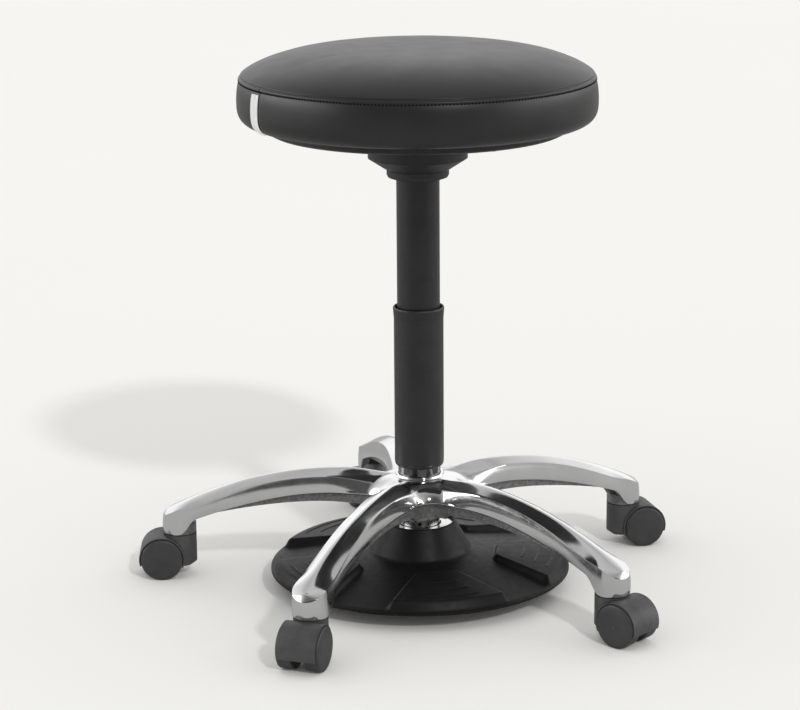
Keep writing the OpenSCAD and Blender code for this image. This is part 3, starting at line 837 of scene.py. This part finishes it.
def tag():
    """The blank white tag, sewn into the upright seam and lying along the side."""
    columns, rows = 10, 34
    width, top, bottom = 3.9, TAG_TOP, 556.2
    verts, faces = [], []
    for side, lift in ((0, 0.95), (1, 0.5)):
        for i in range(rows + 1):
            t = i / rows
            z = lerp(top, bottom, t)
            for j in range(columns + 1):
                s = j / columns
                az = rad(SIDE_SEAM_AZ - 0.25 - width * s)
                wave = 0.35 * math.sin(2.2 * t + 1.1) * s + 0.2 * math.sin(6 * t) * s * s
                r = max(side_radius(z), 196.5 if z < 558 else 0) + lift + wave * s + 0.5 * t * t * s
                if s == 0:
                    r -= 0.9
                verts.append((r * math.cos(az), r * math.sin(az), z))
    layer = (rows + 1) * (columns + 1)
    step = columns + 1
    for i in range(rows):
        for j in range(columns):
            a = i * step + j
            faces.append((a, a + 1, a + step + 1, a + step))
            faces.append((layer + a, layer + a + step, layer + a + step + 1, layer + a + 1))
    rim = [j for j in range(columns + 1)]
    rim += [i * step + columns for i in range(1, rows + 1)]
    rim += [rows * step + j for j in range(columns - 1, -1, -1)]
    rim += [i * step for i in range(rows - 1, 0, -1)]
    for a, b in zip(rim, rim[1:] + rim[:1]):
        faces.append((a, layer + a, layer + b, b))
    return mesh_piece("seat_tag", verts, faces, SLOT_MATERIALS["white_tag"], "seat", 50)


# ------------------------------------------------------------------ foot disc
DISC_R = 177.5
DISC_T = 3.0
PAD_START = 88.0
PAD_RUN = 69.0
PAD_HALF_IN = 26.0
PAD_HALF_OUT = 72.0
PAD_CORNER = 8.0
PAD_WALL_RUN = 5.4
SIDE_COS = 0.83
GRIPS = ((124.0, 20.0), (141.0, 30.0), (158.0, 39.0))


def dish_height(r):
    """Height of the disc between the pads."""
    return 43 - (r - 62) * 19 / (DISC_R - 62)


def pad_height(r):
    """Height of a pad's tread."""
    return 46.8 - (r - 80) * 11.5 / 87


def ease(value, reach):
    """0 below zero, 1 above the reach, smooth between."""
    return smooth(value / reach)


def disc_height(r, az):
    """Height of the disc's upper face: the dish, five raised pads, their grip ribs and a rolled rim."""
    z = dish_height(r)
    local = (az - ARM_AZ) % STEP - STEP / 2
    x = r * math.cos(rad(local))
    y = abs(r * math.sin(rad(local)))
    half = lerp(PAD_HALF_IN, PAD_HALF_OUT, max(0.0, min(1.0, (x - PAD_START) / PAD_RUN)))
    from_end, from_side = x - PAD_START, (half - y) * SIDE_COS
    inside = min(from_end, from_side)
    if from_end < PAD_CORNER and from_side < PAD_CORNER:
        inside = PAD_CORNER - math.hypot(PAD_CORNER - from_end, PAD_CORNER - from_side)
    outer = DISC_R - 9.5 - r
    wall = max(0.0, min(1.0, inside / PAD_WALL_RUN))
    flank = 0.55 * wall + 0.45 * smooth(wall)
    riser = ease(outer + 8.0, 8.5)
    z += max(pad_height(r) - z, 0.8) * flank * riser
    for grip, span in GRIPS:
        along = ease(span - y, 3.0)
        z += 0.95 * math.exp(-((r - grip) / 1.0) ** 2) * along
    return z


def cone_rows():
    """(radius, height) rows down the central cone to where the dish starts."""
    return [(39.6, 77.6), (40.3, 78.0), (41.2, 78.0), (41.9, 77.6), (42.4, 76.8), (44.2, 73.5),
            (47.5, 67.6), (51.2, 61.2), (55.0, 54.7), (58.0, 49.6), (59.4, 47.2), (60.2, 45.4),
            (61.4, 44.0), (63.0, 43.2)]


def foot_disc():
    """The moulded foot disc as one closed skin on a polar grid."""
    turns = 600
    steps = (-2.6, -1.7, -1.1, -0.6, 0.0, 0.6, 1.1, 1.7, 2.6)
    ridges = [grip + step for grip, _ in GRIPS for step in steps]
    flat = [65 + 1.45 * i for i in range(77)]
    flat = [r for r in flat if r < DISC_R - 2.0 and min(abs(r - ridge) for ridge in ridges) > 0.5]
    flat = sorted(flat + ridges)
    flat += [DISC_R - 1.6, DISC_R - 0.7, DISC_R - 0.2]
    verts, faces = [], []
    rings = len(cone_rows()) + len(flat)
    under = [(DISC_R, 21.6), (DISC_R - 0.1, 20.4), (DISC_R - 0.6, 20.0), (DISC_R - 2.2, 20.0),
             (DISC_R - DISC_T, 20.4)]
    inner = (170, 160, 148, 130, 110, 92, 78, 66)
    neck = [(58.0, 43.0), (50.5, 54.0), (43.0, 64.0), (42.5, 67.0), (36.0, 67.0), (35.8, 70.4),
            (39.5, 70.4)]
    total = rings + len(under) + len(inner) + len(neck)
    for c in range(turns):
        az = 360 * c / turns
        ca, sa = math.cos(rad(az)), math.sin(rad(az))
        column = cone_rows()
        for r in flat:
            z = disc_height(r, az)
            if r > DISC_R - 3:
                z = min(z, 24.2 - 1.2 * (r - DISC_R + 3) / 2.8)
            column.append((r, z))
        column += under
        column += [(r, max(20.2, disc_height(r, az) - DISC_T)) for r in inner]
        column += neck
        verts.extend((r * ca, r * sa, z) for r, z in column)
    for c in range(turns):
        d = (c + 1) % turns
        for k in range(total):
            e = (k + 1) % total
            faces.append((c * total + k, d * total + k, d * total + e, c * total + e))
    obj = mesh_piece("foot_disc_moulding", verts, faces, SLOT_MATERIALS["disc_plastic"],
                     "foot_control", 48)
    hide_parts("foot_disc")
    return obj


# ------------------------------------------------------------------ stage
def stage():
    """A plain pale floor that reaches past the horizon."""
    mesh = bpy.data.meshes.new("studio_floor")
    size = 40.0
    corners = [(-size, -size, 0), (size, -size, 0), (size, size, 0), (-size, size, 0)]
    mesh.from_pydata(corners, [], [(0, 1, 2, 3)])
    mesh.materials.append(floor_material())
    obj = bpy.data.objects.new("studio_floor", mesh)
    bpy.context.scene.collection.objects.link(obj)


VIEW_TURN = 11.63
KEY_DIRECTION = (0.575, -1.2, 1.0)
KEY_SPREAD = 4.0
# What gloss mirrors, by height, by depth away from the viewer, and from left to right
HEIGHT_STOPS = [(0.0, 0.8), (0.12, 1.0), (0.40, 1.1), (0.62, 0.75), (0.82, 0.46), (1.0, 0.62)]
DEPTH_STOPS = [(0.0, 0.06), (0.13, 0.09), (0.30, 0.55), (0.55, 0.95), (0.86, 0.95), (0.97, 1.0)]
SIDE_STOPS = [(0.0, 2.6), (0.07, 2.6), (0.10, 0.0), (0.90, 0.0), (0.93, 1.6), (1.0, 1.6)]
# What lights the matt surfaces, by height
DOME_STOPS = [(0.0, 0.90), (0.15, 0.90), (0.50, 0.76), (1.0, 0.72)]
WORLD_STRENGTH = 1.12
SUN_STRENGTH = 0.84


def view_basis():
    """The camera's right, up and forward directions in the part's frame."""
    pitch, yaw, roll = 0.2507, -0.0075, -0.0074
    level = math.cos(pitch)
    fwd = Vector((math.sin(yaw) * level, math.cos(yaw) * level, -math.sin(pitch)))
    right = Vector((math.cos(yaw), -math.sin(yaw), 0))
    up = right.cross(fwd)
    cos_roll, sin_roll = math.cos(roll), math.sin(roll)
    right, up = cos_roll * right + sin_roll * up, cos_roll * up - sin_roll * right
    spin = Matrix.Rotation(rad(-VIEW_TURN), 3, "Z")
    return spin @ right, spin @ up, spin @ fwd, spin @ Vector((0, -2.9355, 1.031))


def camera():
    """The photograph's view."""
    data = bpy.data.cameras.new("view")
    obj = bpy.data.objects.new("view", data)
    bpy.context.scene.collection.objects.link(obj)
    right, up, fwd, place = view_basis()
    obj.matrix_world = Matrix.Translation(place) @ Matrix((right, up, -fwd)).transposed().to_4x4()
    data.sensor_width = 36.0
    data.lens = 116.62
    data.clip_end = 200
    bpy.context.scene.camera = obj


def world_band(tree, source, stops):
    """A grey ramp over one part of the sky's direction."""
    ramp = tree.nodes.new("ShaderNodeValToRGB")
    tree.links.new(source, ramp.inputs["Fac"])
    while len(ramp.color_ramp.elements) < len(stops):
        ramp.color_ramp.elements.new(0.5)
    for element, (place, value) in zip(ramp.color_ramp.elements, stops):
        element.position = place
        element.color = (value, value, value, 1)
    return ramp.outputs["Color"]


def blend_colours(tree, kind, a, b):
    node = tree.nodes.new("ShaderNodeMix")
    node.data_type = "RGBA"
    node.blend_type = kind
    node.inputs["Factor"].default_value = 1.0
    tree.links.new(a, node.inputs["A"])
    tree.links.new(b, node.inputs["B"])
    return node.outputs["Result"]


def studio_world():
    """An even dome for matt surfaces; gloss mirrors a bright sweep behind and a dark room in front."""
    world = bpy.data.worlds.new("studio")
    bpy.context.scene.world = world
    world.use_nodes = True
    tree = world.node_tree
    background = tree.nodes["Background"]
    coord = tree.nodes.new("ShaderNodeTexCoord")
    turn = tree.nodes.new("ShaderNodeVectorRotate")
    turn.rotation_type = "Z_AXIS"
    turn.inputs["Angle"].default_value = rad(VIEW_TURN)
    tree.links.new(coord.outputs["Generated"], turn.inputs["Vector"])
    parts = tree.nodes.new("ShaderNodeSeparateXYZ")
    tree.links.new(turn.outputs["Vector"], parts.inputs["Vector"])
    half = tree.nodes.new("ShaderNodeMath")
    half.operation = "MULTIPLY_ADD"
    tree.links.new(parts.outputs["Y"], half.inputs[0])
    half.inputs[1].default_value = 0.5
    half.inputs[2].default_value = 0.5
    height = world_band(tree, parts.outputs["Z"], HEIGHT_STOPS)
    depth = world_band(tree, half.outputs[0], DEPTH_STOPS)
    wide = tree.nodes.new("ShaderNodeMath")
    wide.operation = "MULTIPLY_ADD"
    tree.links.new(parts.outputs["X"], wide.inputs[0])
    wide.inputs[1].default_value = 0.5
    wide.inputs[2].default_value = 0.5
    sides = world_band(tree, wide.outputs[0], SIDE_STOPS)
    rise = world_band(tree, parts.outputs["Z"], [(0.0, 0.0), (0.06, 0.0), (0.12, 1.0), (0.50, 1.0)])
    sky = blend_colours(tree, "MULTIPLY", height, depth)
    panels = blend_colours(tree, "MULTIPLY", sides, rise)
    mirrored = blend_colours(tree, "ADD", sky, panels)
    dome = world_band(tree, parts.outputs["Z"], DOME_STOPS)
    path = tree.nodes.new("ShaderNodeLightPath")
    choose = tree.nodes.new("ShaderNodeMix")
    choose.data_type = "RGBA"
    tree.links.new(path.outputs["Is Glossy Ray"], choose.inputs["Factor"])
    tree.links.new(dome, choose.inputs["A"])
    tree.links.new(mirrored, choose.inputs["B"])
    tree.links.new(choose.outputs["Result"], background.inputs["Color"])
    background.inputs["Strength"].default_value = WORLD_STRENGTH


def sun(direction, strength, spread):
    """The key light, toward a direction in the view's own frame."""
    data = bpy.data.lights.new("key", "SUN")
    data.energy = strength
    data.angle = rad(spread)
    obj = bpy.data.objects.new("key", data)
    spin = Matrix.Rotation(rad(-VIEW_TURN), 3, "Z")
    obj.rotation_euler = (spin @ Vector(direction)).to_track_quat("Z", "Y").to_euler()
    bpy.context.scene.collection.objects.link(obj)


def lights():
    studio_world()
    sun(KEY_DIRECTION, SUN_STRENGTH, KEY_SPREAD)
    bpy.context.scene.view_settings.view_transform = "Standard"


dress_cad_nodes()
star_base()
cushion()
stitches()
tag()
foot_disc()
stage()
camera()
lights()
